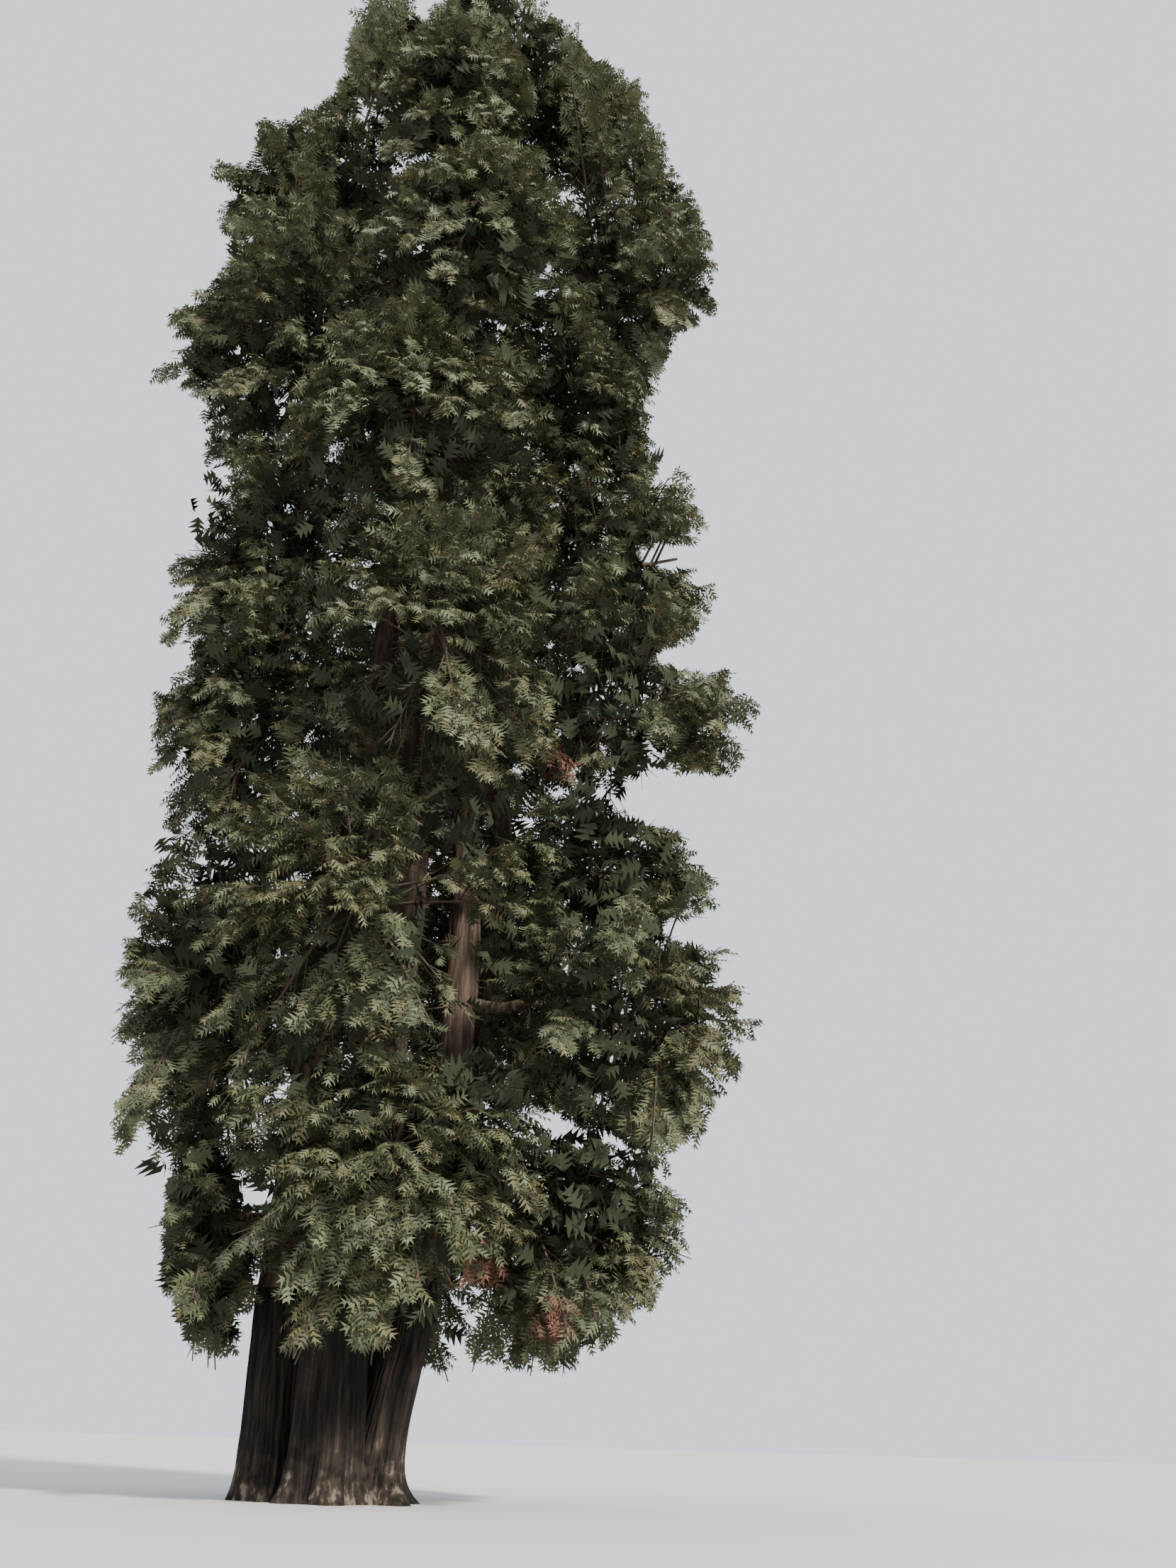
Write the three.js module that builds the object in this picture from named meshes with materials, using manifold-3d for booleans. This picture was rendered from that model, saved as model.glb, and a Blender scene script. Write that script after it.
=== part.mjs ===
// A coast redwood: a clump of four stems grown from one root, with boughs on all sides that
// carry the foliage in masses, and two leaders at the top.
// Millimetres, +Z up. The origin is on the ground, in the middle of the clump's flat cut.
// +X is the right-hand side of the tree seen from its front, and +Y is its back.
import * as THREE from 'three';
import { mergeVertices } from 'three/addons/utils/BufferGeometryUtils.js';
import Module from 'manifold-3d';

// Driving dimensions. Lengths are in metres, and become millimetres where they are used.
const METRE = 1000;
const MEETING_GAP = 0.0003;
const CLEARANCE = 0.06;
const WELD = 0.001;
const SLIVER = 0.05;
const SMOOTHING = 4;

// The clump at the foot: four fluted columns in one, up to where the stems part
const CLUMP_HEIGHT = 2.9997;
const CLUMP_SINK = 0.4;
const GROUND_WIDTH = 6;
const FLARE_HEIGHT = 0.3;
const FLUTES = 5;
const FLUTE_DEPTH = 0.07;
const FLUTE_PHASE = 1.7;
const FLARE_FLUTED = 0.3;
const COLUMN_SIDES = 16;
const COLUMN_STEPS = 6;
const COLUMN_CROWDING = 1.5;

// Each stem: where its column stands, how wide that is and how much wider its root flare,
// then the points its centre line runs through above the clump and its radius there and at the tip
const STEMS = {
  stem_middle: {
    foot: [-0.1, -0.3], footRadius: 0.54, flare: 0.24, radius: 0.5, tipRadius: 0.07,
    route: [
      [-0.12, -0.42, 3.0], [0.37, -0.2, 9.7], [0.27, -0.15, 12.6], [0.5, -0.1, 15.5], [0.42, 0.1, 28.7],
    ],
  },
  stem_left: {
    foot: [-0.94, 0.1], footRadius: 0.5, flare: 0.12, radius: 0.44, tipRadius: 0.07,
    route: [
      [-1.06, 0.14, 3.0], [-0.92, 0.4, 9.0], [-0.54, 0.5, 15.0], [-0.75, 0.45, 21.0], [-1.4, 0.3, 26.4],
    ],
  },
  stem_right: {
    foot: [0.47, 0.1], footRadius: 0.4, flare: 0.5, radius: 0.38, tipRadius: 0.06,
    route: [[1.0, 0.16, 3.0], [1.42, 0.2, 8.0], [1.2, 0.3, 13.5], [1.3, 0.3, 20.5], [2.1, 0.2, 27.0]],
  },
  stem_back: {
    foot: [0.1, 0.7], footRadius: 0.5, flare: 0.24, radius: 0.42, tipRadius: 0.06,
    route: [[0.4, 1.05, 3.0], [1.85, 1.3, 8.6], [1.6, 1.5, 14.5], [1.0, 1.3, 22.5]],
  },
};
const STEM_SIDES = 10;
const STEM_STEPS = 10;
const STEM_TAPER = 0.85;

// The crown hangs round this upright axis. On each side of it stand masses of foliage, and each
// pair gives the height of one mass's tip and how far that tip is from the axis. The masses of a
// side sway to left and right by some degrees, and their width is a share of the way out.
const CROWN_AXIS = [0.5, 0.1];
const CROWN_FOOT = 1.95;
const CROWN_HEIGHT = 34.3;
const SIDES = {
  right: {
    azimuth: 0, sway: 5, stem: 'stem_right', widthShare: 1.25,
    tips: [
      [3.9, 5.0], [7.5, 6.1], [10.5, 5.5], [13.6, 6.2], [17.4, 5.6], [21.0, 4.4], [25.6, 5.4], [30.1, 3.8],
    ],
  },
  left: {
    azimuth: 180, sway: 6, stem: 'stem_left', widthShare: 1.25,
    tips: [[3.9, 3.8], [8.2, 5.0], [13.4, 5.1], [17.3, 5.3], [22.4, 5.9], [27.3, 5.0]],
  },
  front: {
    azimuth: 270, sway: 7, stem: 'stem_middle', widthShare: 1.3,
    tips: [[4.6, 4.6], [8.6, 5.2], [13.6, 5.3], [19.0, 5.0], [24.0, 4.5], [28.6, 3.5]],
  },
  back: {
    azimuth: 90, sway: 10, stem: 'stem_back', widthShare: 1.3,
    tips: [[4.9, 4.8], [10.2, 5.3], [15.2, 5.2], [20.2, 5.0], [24.8, 4.4], [29.2, 3.3]],
  },
};
// The leaders: where each tip is, where its foliage starts and how wide it grows
const LEADERS = [
  { name: 'top', tip: [0.45, 0.1, CROWN_HEIGHT], start: [0.42, 0.1, 28.7], width: 1.75 },
  { name: 'spire', tip: [-2.1, 0.15, 33.1], start: [-0.85, 0.2, 29.2], width: 1.35 },
];
const SPIRE_FOOT_HEIGHT = 26.2;

// A mass: how much of its bough stays bare, in metres and at most as a share of the mass's
// half-length, the room between its space and the bark, and how its tip leans, in degrees
const BARE_REACH = 0.85;
const BARE_SHARE = 0.6;
const STEM_ROOM = 0.1;
const LOWEST_LEAN = -14;
const HIGHEST_LEAN = 34;
const LEADER_BARE_SHARE = 0.1;
const UPRIGHT = 0.9;

// The space of a mass: rounded like a box whose edges are worn, narrower to its tip and fuller
// towards the stems, with a margin to the next mass. It is higher than its share of the crown, so
// that it meets the next masses in a broad front, and the lowest end flat at the crown's foot.
const HEIGHT_SHARE = 1.3;
const SKIRT_SHARE = 1.35;
const SPACE_POWER = 2.4;
const TIP_TAPER = 0.7;
const INNER_FULLNESS = 0.8;
const SPACE_MARGIN = 0.025;

// Boughs: the foot is lower or higher on the stem than the mass by the lean of the bough. A mass
// that is this far above the top of its side's stem hangs on the middle stem.
const BOUGH_FOOT_RADIUS = 0.15;
const BOUGH_TIP_RADIUS = 0.085;
const BOUGH_SIDES = 6;
const BOUGH_STEPS = 2;
const BOUGH_DROP = 0.5;
const BOUGH_SAG = 0.12;
const BOUGH_BEND = 0.3;
const BOUGH_ENTRY = 0.25;
const BOUGH_BELOW_TOP = 0.6;
const STEM_SHORT = 2.4;
const STEM_BEADS = 160;
const BOUGH_BEADS = 24;

// Foliage in a mass: one stem that bows a little, twigs round it, sprays on the twigs and a dense
// core. Shares are of the mass's half-length, of a twig's reach or of a spray's length.
const SPRIG_RADIUS = 0.065;
const SPRIG_SIDES = 4;
const SPRIG_STEPS = 3;
const SPRIG_SUNK = 0.02;
const SPRIG_BOW = 0.06;
const SPRIG_STOP = 0.6;
const TWIG_RADIUS = 0.045;
const TWIG_SIDES = 3;
const TWIGS = 7;
const TWIG_FIRST = 0.12;
const TWIG_LAST = 0.86;
const FIRST_SPLAY = -0.5;
const LAST_SPLAY = 0.8;
const TWIG_DROOP = 0.16;
const TWIG_UNEVEN = 0.1;
const SHORTEST_TWIG = 0.5;
const GOLDEN_TURN = 2.39996;
const TURN_UNEVEN = 0.5;
const SPRAY_LENGTH = 1.8;
const SPRAY_WIDTH = 1.1;
const SPRAY_THICKNESS = 0.06;
const SPRAY_TURN = 0.75;
const SPRAY_SUNK = 0.6;
const SPRAY_UNEVEN = 0.15;
const SPRAY_REACH = 0.8;
const SPRAY_MIDDLE = 0.42;
const SPRAY_EDGE = 1.02;
const TIP_SPRAY = 0.75;
const CORE_SHARE = 0.66;
const CORE_ROUGHNESS = 0.28;
const CORE_STEP = 0.04;
const CORE_DETAIL = 1;

// Colours of the bark and of the foliage
const BARK = { color: 0x5b4a3c, roughness: 0.95, metalness: 0 };
const BOUGH_BARK = { color: 0x6a5747, roughness: 0.95, metalness: 0 };
const FOLIAGE_COLOURS = [0x4a5334, 0x424b2f, 0x525a3a, 0x3d4630];

const UP = new THREE.Vector3(0, 0, 1);
const wasm = await Module();
wasm.setup();

// Small helpers
const place = (point) => new THREE.Vector3(...point);
const mix = THREE.MathUtils.lerp;

// A stream of numbers from 0 to 1 that is the same on every run
function seeded(seed) {
  let state = (seed * 2654435761) >>> 0;
  return () => {
    state = (Math.imul(state, 1664525) + 1013904223) >>> 0;
    return state / 4294967296;
  };
}

// A closed skin over rings of points that all have the same number of points, in millimetres
function loft(rings) {
  const sides = rings[0].length;
  const points = rings.flat();
  const faces = [];
  for (let row = 0; row < rings.length - 1; row += 1) {
    for (let side = 0; side < sides; side += 1) {
      const a = row * sides + side;
      const b = row * sides + (side + 1) % sides;
      faces.push(a, b, b + sides, a, b + sides, a + sides);
    }
  }
  const last = (rings.length - 1) * sides;
  if (sides === 3) {
    faces.push(0, 2, 1, last, last + 1, last + 2);
  } else {
    for (const [start, turned] of [[0, true], [last, false]]) {
      const middle = new THREE.Vector3();
      for (let side = 0; side < sides; side += 1) middle.addScaledVector(points[start + side], 1 / sides);
      points.push(middle);
      for (let side = 0; side < sides; side += 1) {
        const a = start + side;
        const b = start + (side + 1) % sides;
        faces.push(points.length - 1, turned ? b : a, turned ? a : b);
      }
    }
  }
  return faceted(points, faces);
}

// A geometry from points in metres and the three corners of each face
function faceted(points, faces) {
  const geometry = new THREE.BufferGeometry();
  const positions = points.flatMap((point) => [point.x * METRE, point.y * METRE, point.z * METRE]);
  geometry.setAttribute('position', new THREE.Float32BufferAttribute(positions, 3));
  geometry.setIndex(faces);
  return geometry;
}

// A limb: a tapering round bar along a curve, with flat ends that are level on an upright stem.
// A grown limb is thicker and longer all round, to cut a neighbour clear of it.
function limb(curve, radiusAt, sides, steps, { level = false, grown = 0 } = {}) {
  const frames = curve.computeFrenetFrames(steps, false);
  const rings = [];
  for (let step = 0; step <= steps; step += 1) {
    const right = level ? place([1, 0, 0]) : frames.normals[step];
    const back = level ? place([0, 1, 0]) : frames.binormals[step];
    const onward = level ? UP : frames.tangents[step];
    const end = (step === steps) - (step === 0);
    const centre = curve.getPointAt(step / steps).addScaledVector(onward, end * grown);
    const radius = radiusAt(step / steps) + grown;
    const ring = [];
    for (let side = 0; side < sides; side += 1) {
      const turn = (side / sides) * 2 * Math.PI;
      const point = centre.clone().addScaledVector(right, radius * Math.cos(turn));
      ring.push(point.addScaledVector(back, radius * Math.sin(turn)));
    }
    rings.push(ring);
  }
  return loft(rings);
}

// A geometry as a solid that can be joined and cut
function solidOf(geometry) {
  const mesh = new wasm.Mesh({
    numProp: 3,
    vertProperties: new Float32Array(geometry.attributes.position.array),
    triVerts: new Uint32Array(geometry.index.array),
  });
  return new wasm.Manifold(mesh);
}

// Solids joined into one body
function fuse(geometries) {
  let solid = solidOf(geometries[0]);
  for (const geometry of geometries.slice(1)) solid = solid.add(solidOf(geometry));
  return outerBody(solid, SMOOTHING);
}

// A solid as a geometry again
function geometryOf(solid) {
  const mesh = solid.getMesh();
  const geometry = new THREE.BufferGeometry();
  geometry.setAttribute('position', new THREE.BufferAttribute(mesh.vertProperties, 3));
  geometry.setIndex(new THREE.BufferAttribute(mesh.triVerts, 1));
  return geometry;
}

// The outer skin of a solid, with slivers smoothed away and near corners welded: a hollow that
// the joining seals is filled in that way, and a loose scrap is dropped
function outerBody(solid, tolerance) {
  const smooth = solid.simplify(tolerance);
  const bodies = solidOf(mergeVertices(geometryOf(smooth).toNonIndexed(), WELD)).decompose();
  if (bodies.length === 1) return bodies[0];
  const largest = bodies.reduce((best, body) => (body.volume() > best.volume() ? body : best));
  return outerBody(largest, tolerance);
}

// Whether every edge of a body is shared by just two faces once its near corners are welded
function isSound(solid) {
  const corners = mergeVertices(geometryOf(solid).toNonIndexed(), WELD).index.array;
  const uses = new Map();
  for (let corner = 0; corner < corners.length; corner += 1) {
    const next = corner % 3 === 2 ? corner - 2 : corner + 1;
    const key = `${Math.min(corners[corner], corners[next])} ${Math.max(corners[corner], corners[next])}`;
    uses.set(key, (uses.get(key) ?? 0) + 1);
  }
  return [...uses.values()].every((count) => count === 2);
}

// The centre line of a stem above the clump, and its radius at a share of its length
function stemCurve(stem) {
  return new THREE.CatmullRomCurve3(stem.route.map(place));
}
function stemRadius(stem, share) {
  return mix(stem.radius, stem.tipRadius, share ** STEM_TAPER);
}
function stemBar(stem, grown) {
  const radiusAt = (share) => stemRadius(stem, share);
  return limb(stemCurve(stem), radiusAt, STEM_SIDES, STEM_STEPS, { level: true, grown });
}

// One fluted column of the clump, from below the ground to where its stem begins
function column(stem, phase) {
  const [topX, topY] = stem.route[0];
  const rings = [];
  for (let step = 0; step <= COLUMN_STEPS; step += 1) {
    const share = (step / COLUMN_STEPS) ** COLUMN_CROWDING;
    const height = mix(-CLUMP_SINK, CLUMP_HEIGHT, share);
    const climb = Math.max(height, 0) / CLUMP_HEIGHT;
    const centre = place([mix(stem.foot[0], topX, climb), mix(stem.foot[1], topY, climb), height]);
    const round = mix(stem.footRadius, stem.radius, climb);
    const flare = stem.flare * Math.exp(-Math.max(height, 0) / FLARE_HEIGHT);
    const ring = [];
    for (let side = 0; side < COLUMN_SIDES; side += 1) {
      const turn = (side / COLUMN_SIDES) * 2 * Math.PI;
      const flute = Math.cos(FLUTES * turn + phase);
      const fluted = round * (1 + FLUTE_DEPTH * (1 - climb) * flute);
      const radius = fluted + flare * (1 - FLARE_FLUTED * (1 - flute));
      ring.push(centre.clone().add(place([radius * Math.cos(turn), radius * Math.sin(turn), 0])));
    }
    rings.push(ring);
  }
  return loft(rings);
}

// The clump, cut flat at the ground
function clump() {
  const columns = Object.values(STEMS).map((stem, index) => column(stem, index * FLUTE_PHASE));
  const ground = new THREE.BoxGeometry(GROUND_WIDTH, GROUND_WIDTH, 2 * CLUMP_SINK);
  ground.translate(0, 0, -CLUMP_SINK).scale(METRE, METRE, METRE);
  ground.deleteAttribute('normal');
  ground.deleteAttribute('uv');
  return fuse(columns).subtract(solidOf(mergeVertices(ground)));
}

// The masses of foliage. Each has a tip, a centre, three half-sizes along its own axes,
// outward, sideways and upward, and the stem that carries it.
function sideMasses(side, name) {
  return side.tips.map(([height, reach], index) => {
    const below = index > 0 ? side.tips[index - 1][0] : 2 * CROWN_FOOT - height;
    const above = index < side.tips.length - 1 ? side.tips[index + 1][0] : 2 * height - below;
    const azimuth = THREE.MathUtils.degToRad(side.azimuth + side.sway * (index % 2 ? -1 : 1));
    const out = place([Math.cos(azimuth), Math.sin(azimuth), 0]);
    const lean = THREE.MathUtils.degToRad(mix(LOWEST_LEAN, HIGHEST_LEAN, height / CROWN_HEIGHT));
    const along = out.clone().multiplyScalar(Math.cos(lean)).addScaledVector(UP, Math.sin(lean));
    const tip = place([...CROWN_AXIS, height]).addScaledVector(out, reach);
    const stem = height - STEM_SHORT > topOf(side.stem) ? 'stem_middle' : side.stem;
    const inner = stemEdge(stem, height, out);
    const half = (reach - inner - STEM_ROOM) / 2 / Math.cos(lean);
    const centre = tip.clone().addScaledVector(along, -half);
    const halfHeight = Math.min(HEIGHT_SHARE * (above - below) / 2, SKIRT_SHARE * (centre.z - CROWN_FOOT));
    const halfWidth = (reach + inner) / 2 * side.widthShare;
    const bare = Math.min(BARE_REACH, BARE_SHARE * half);
    return { name: `${name}_${index + 1}`, stem, tip, centre, along, half, halfWidth, halfHeight, bare };
  });
}

// The two masses on the leaders
function leaderMass(leader) {
  const tip = place(leader.tip);
  const start = place(leader.start);
  const along = tip.clone().sub(start).normalize();
  const half = tip.distanceTo(start) / 2;
  const centre = tip.clone().addScaledVector(along, -half);
  const stem = 'stem_middle';
  const { name, width } = leader;
  const bare = LEADER_BARE_SHARE * half;
  return { name, stem, tip, centre, along, half, halfWidth: width, halfHeight: width, bare };
}

// The height where a stem ends, and how far its bark stands from the crown's axis in a direction
function topOf(name) {
  return STEMS[name].route.at(-1)[2];
}
function stemAt(name, height) {
  const stem = STEMS[name];
  const foot = stem.route[0][2];
  const share = THREE.MathUtils.clamp((height - foot) / (topOf(name) - foot), 0, 1);
  return { centre: stemCurve(stem).getPointAt(share), radius: stemRadius(stem, share) };
}
function stemEdge(name, height, out) {
  const { centre, radius } = stemAt(name, height);
  return centre.sub(place([...CROWN_AXIS, centre.z])).dot(out) + radius;
}

const masses = Object.entries(SIDES).flatMap(([name, side]) => sideMasses(side, name));
masses.push(...LEADERS.map(leaderMass));
for (const mass of masses) {
  const isUpright = Math.abs(mass.along.z) > UPRIGHT;
  mass.side = mass.along.clone().cross(isUpright ? place([0, 1, 0]) : UP).normalize();
  mass.up = mass.side.clone().cross(mass.along);
}

// How far out a point lies in a mass, from 0 at its centre to 1 at its edge
function depth(mass, point) {
  const offset = point.clone().sub(mass.centre);
  const along = offset.dot(mass.along) / mass.half;
  const waist = 1 - TIP_TAPER * THREE.MathUtils.clamp(along, 0, 1);
  const across = offset.dot(mass.side) / mass.halfWidth / waist;
  const upward = offset.dot(mass.up) / mass.halfHeight / waist;
  const lengthwise = along < 0 ? INNER_FULLNESS * along : along;
  const powers = [lengthwise, across, upward].map((share) => Math.abs(share) ** SPACE_POWER);
  return (powers[0] + powers[1] + powers[2]) ** (1 / SPACE_POWER);
}

// Whether a point is in a mass's own space: within its edge, nearer to it than to any other
// mass, above the crown's foot and clear of every limb
function keepsTo(mass, point, edge) {
  const own = depth(mass, point);
  if (own > edge || point.z < CROWN_FOOT) return false;
  for (const other of masses) {
    if (other !== mass && depth(other, point) < own + SPACE_MARGIN) return false;
  }
  return limbBeads.every((bead) => bead.centre.distanceTo(point) > bead.radius + CLEARANCE);
}

// A mass's stem starts past the bare part of its bough, on its own side of the shared space
const limbBeads = [];
for (const mass of masses) {
  let way = 0;
  const most = mass.half - mass.bare;
  const inward = (length) => mass.centre.clone().addScaledVector(mass.along, -length);
  while (way < most && keepsTo(mass, inward(way + CORE_STEP), 1)) way += CORE_STEP;
  mass.start = inward(way);
}
masses.find((mass) => mass.name === 'top').start.copy(place(LEADERS[0].start));

// A bough: from inside its stem to the start of its mass
function boughCurve(mass) {
  const rise = mass.name === 'spire' ? SPIRE_FOOT_HEIGHT : mass.start.z - BOUGH_DROP * mass.along.z;
  const foot = stemAt(mass.stem, Math.min(rise, topOf(mass.stem) - BOUGH_BELOW_TOP)).centre;
  const middle = foot.clone().lerp(mass.start, 0.5);
  middle.z -= BOUGH_SAG * foot.distanceTo(mass.start);
  const before = mass.start.clone().addScaledVector(mass.along, -BOUGH_ENTRY * foot.distanceTo(mass.start));
  return new THREE.CatmullRomCurve3([foot, middle.lerp(before, BOUGH_BEND), mass.start]);
}
const boughRadius = (share) => mix(BOUGH_FOOT_RADIUS, BOUGH_TIP_RADIUS, share);

function boughBar(mass, grown) {
  return limb(boughCurve(mass), boughRadius, BOUGH_SIDES, BOUGH_STEPS, { grown });
}

// A bough's solid, with its foot cut a hair clear of the stem that it grows from
function bough(mass) {
  const grown = stemBar(STEMS[mass.stem], MEETING_GAP);
  const bar = boughBar(mass, 0);
  return outerBody(solidOf(bar).subtract(solidOf(grown)), SLIVER);
}

// Beads along every limb, which the foliage keeps clear of
function beadsAlong(curve, radiusAt, count) {
  for (let bead = 0; bead <= count; bead += 1) {
    limbBeads.push({ centre: curve.getPointAt(bead / count), radius: radiusAt(bead / count) });
  }
}
const carried = masses.filter((mass) => mass.name !== 'top');
for (const stem of Object.values(STEMS)) {
  beadsAlong(stemCurve(stem), (share) => stemRadius(stem, share), STEM_BEADS);
}
for (const mass of carried) beadsAlong(boughCurve(mass), boughRadius, BOUGH_BEADS);

// The way from a point in a mass to the edge of its space, in a direction
function wayOut(mass, from, direction, edge) {
  let way = 0;
  while (keepsTo(mass, from.clone().addScaledVector(direction, way + CORE_STEP), edge)) way += CORE_STEP;
  return way;
}

// The dense core of a mass, cut clear of the limbs and of the other masses
function core(mass, random) {
  const ball = new THREE.IcosahedronGeometry(1, CORE_DETAIL);
  ball.deleteAttribute('normal');
  ball.deleteAttribute('uv');
  const merged = mergeVertices(ball, WELD);
  const points = [];
  for (let index = 0; index < merged.attributes.position.count; index += 1) {
    const direction = new THREE.Vector3().fromBufferAttribute(merged.attributes.position, index).normalize();
    const way = wayOut(mass, mass.centre, direction, CORE_SHARE * (1 - CORE_ROUGHNESS * random()));
    points.push(mass.centre.clone().addScaledVector(direction, Math.max(way, 2 * CLEARANCE)));
  }
  return faceted(points, Array.from(merged.index.array));
}

// A spray: a toothed blade from its root to its tip, thick along its middle
const SPRAY_OUTLINE = [[0, 0], [0.55, 0.5], [0.46, 0.17], [0.86, 0.33], [1, 0], [0.86, -0.33], [0.46, -0.17],
  [0.55, -0.5]];
function sprayPoints(root, direction, flat, length) {
  const across = direction.clone().cross(flat).normalize();
  const upward = across.clone().cross(direction);
  const width = SPRAY_WIDTH * length / SPRAY_LENGTH;
  const on = (along, aside, above) => root.clone().addScaledVector(direction, along * length)
    .addScaledVector(across, aside * width).addScaledVector(upward, above * SPRAY_THICKNESS);
  const outline = SPRAY_OUTLINE.map(([along, aside]) => on(along, aside, 0));
  return [...outline, on(SPRAY_MIDDLE, 0, 0.5), on(SPRAY_MIDDLE, 0, -0.5)];
}
function spray(points) {
  const rim = SPRAY_OUTLINE.length;
  const faces = [];
  for (let corner = 0; corner < rim; corner += 1) {
    const next = (corner + 1) % rim;
    faces.push(rim, corner, next, rim + 1, next, corner);
  }
  return faceted(points, faces);
}

// The twigs of a mass: the same rule for every mass, with its own seeded numbers
function twigRoutes(mass, sprig, random) {
  const routes = [];
  for (let twig = 0; twig < TWIGS; twig += 1) {
    const along = mix(TWIG_FIRST, TWIG_LAST, (twig + random()) / TWIGS);
    const root = sprig.getPointAt(along);
    const turn = twig * GOLDEN_TURN + TURN_UNEVEN * random();
    const direction = mass.side.clone().multiplyScalar(Math.cos(turn))
      .addScaledVector(mass.up, Math.sin(turn))
      .addScaledVector(mass.along, mix(FIRST_SPLAY, LAST_SPLAY, along))
      .normalize();
    const reach = wayOut(mass, root, direction, 1) * (1 - TWIG_UNEVEN * random());
    if (reach > SHORTEST_TWIG) routes.push({ root, direction, reach });
  }
  return routes;
}

// A mass of foliage: stem, twigs, sprays and core in one body, cut a hair clear of what carries it
function foliage(mass, seed) {
  const random = seeded(seed);
  const begin = mass.start.clone().addScaledVector(mass.along, -SPRIG_SUNK);
  const bow = mass.centre.clone().addScaledVector(mass.up, -SPRIG_BOW * mass.half);
  const stop = Math.min(0.5 * SPRAY_LENGTH, SPRIG_STOP * mass.half);
  const end = mass.tip.clone().addScaledVector(mass.along, -stop);
  const sprig = new THREE.CatmullRomCurve3([begin, bow, end]);
  const sprigRadius = (share) => mix(SPRIG_RADIUS, TWIG_RADIUS, share);
  const solids = [core(mass, random), limb(sprig, sprigRadius, SPRIG_SIDES, SPRIG_STEPS)];
  const tipLength = Math.min(TIP_SPRAY * SPRAY_LENGTH, mass.half);
  const tipRoot = mass.tip.clone().addScaledVector(mass.along, -tipLength);
  const sprays = [sprayPoints(tipRoot, mass.along, mass.up, tipLength)];
  for (const { root, direction, reach } of twigRoutes(mass, sprig, random)) {
    const length = Math.min(SPRAY_LENGTH, SPRAY_REACH * reach);
    const droop = direction.clone().addScaledVector(UP, -TWIG_DROOP).normalize();
    const bend = root.clone().addScaledVector(direction, 0.5 * reach);
    const twigEnd = root.clone().addScaledVector(direction, reach - SPRAY_SUNK * length);
    solids.push(limb(new THREE.LineCurve3(root, twigEnd), () => TWIG_RADIUS, TWIG_SIDES, 1));
    const turned = SPRAY_TURN * (sprays.length % 4 < 2 ? 1 : -1);
    const leaning = [
      [root.clone().addScaledVector(direction, reach - length), direction],
      [bend, droop.addScaledVector(mass.along, turned).normalize()],
    ];
    for (const [from, way] of leaning) {
      const flat = UP.clone().addScaledVector(mass.side, random() - 0.5).normalize();
      sprays.push(sprayPoints(from, way, flat, length * (1 - SPRAY_UNEVEN * random())));
    }
  }
  const keeps = (points) => points.every((point) => keepsTo(mass, point, SPRAY_EDGE));
  const kept = sprays.filter((points, index) => index === 0 || keeps(points));
  const carriers = [stemBar(STEMS[mass.stem], MEETING_GAP)];
  if (mass.name !== 'top') carriers.push(boughBar(mass, MEETING_GAP));
  const cutClear = (solid, bar) => solid.subtract(solidOf(bar));
  const grown = () => carriers.reduce(cutClear, fuse([...solids, ...kept.map(spray)]));
  let body = outerBody(grown(), SLIVER);
  while (!isSound(body)) {
    kept.pop();
    body = outerBody(grown(), SLIVER);
  }
  return body;
}

// The tree
const group = new THREE.Group();
function addPiece(name, solid, material) {
  const mesh = new THREE.Mesh(geometryOf(solid), new THREE.MeshStandardMaterial(material));
  mesh.name = name;
  group.add(mesh);
}
addPiece('trunk_clump', clump(), BARK);
for (const [name, stem] of Object.entries(STEMS)) {
  addPiece(name, solidOf(stemBar(stem, 0)), BARK);
}
for (const mass of carried) addPiece(`bough_${mass.name}`, bough(mass), BOUGH_BARK);
masses.forEach((mass, index) => {
  const color = FOLIAGE_COLOURS[index % FOLIAGE_COLOURS.length];
  addPiece(`foliage_${mass.name}`, foliage(mass, index + 1), { color, roughness: 0.85, metalness: 0 });
});

export default group;
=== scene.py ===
"""Dresses the coast redwood: barked clump, stems and boughs, and foliage grown on in every mass.

Metres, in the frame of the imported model: +Z up, origin on the ground under the clump, +X to the
right of the tree seen from its front and +Y to its back. The stems, the boughs and the space of
each mass follow the same named sizes and the same seeded rule as the part's source, and the rule
goes on here from the masses' first twigs to finer twigs and sprays of needles.
"""

import math

import bpy
import numpy as np
from mathutils import Matrix, Vector


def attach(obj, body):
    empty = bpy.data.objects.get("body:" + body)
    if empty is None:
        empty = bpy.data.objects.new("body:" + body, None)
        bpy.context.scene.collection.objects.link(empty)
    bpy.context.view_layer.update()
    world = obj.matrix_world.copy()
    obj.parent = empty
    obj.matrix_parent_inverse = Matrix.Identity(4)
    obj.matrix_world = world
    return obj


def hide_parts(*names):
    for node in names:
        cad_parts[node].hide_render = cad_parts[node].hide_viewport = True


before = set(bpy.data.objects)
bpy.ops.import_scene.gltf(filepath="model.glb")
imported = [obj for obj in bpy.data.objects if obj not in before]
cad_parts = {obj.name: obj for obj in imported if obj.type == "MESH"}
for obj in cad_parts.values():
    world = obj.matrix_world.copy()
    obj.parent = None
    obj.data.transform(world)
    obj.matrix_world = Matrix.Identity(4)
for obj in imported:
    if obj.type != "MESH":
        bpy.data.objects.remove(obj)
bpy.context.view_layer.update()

# The sizes that the solids were built from. The clump at the foot is four fluted columns in one, up
# to where the stems part. Foliage stays clear of all the wood.
CLEARANCE = 0.06
CLUMP_HEIGHT = 2.9997
FLARE_HEIGHT = 0.3
FLUTES = 5
FLUTE_DEPTH = 0.07
FLUTE_PHASE = 1.7
FLARE_FLUTED = 0.3

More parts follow.
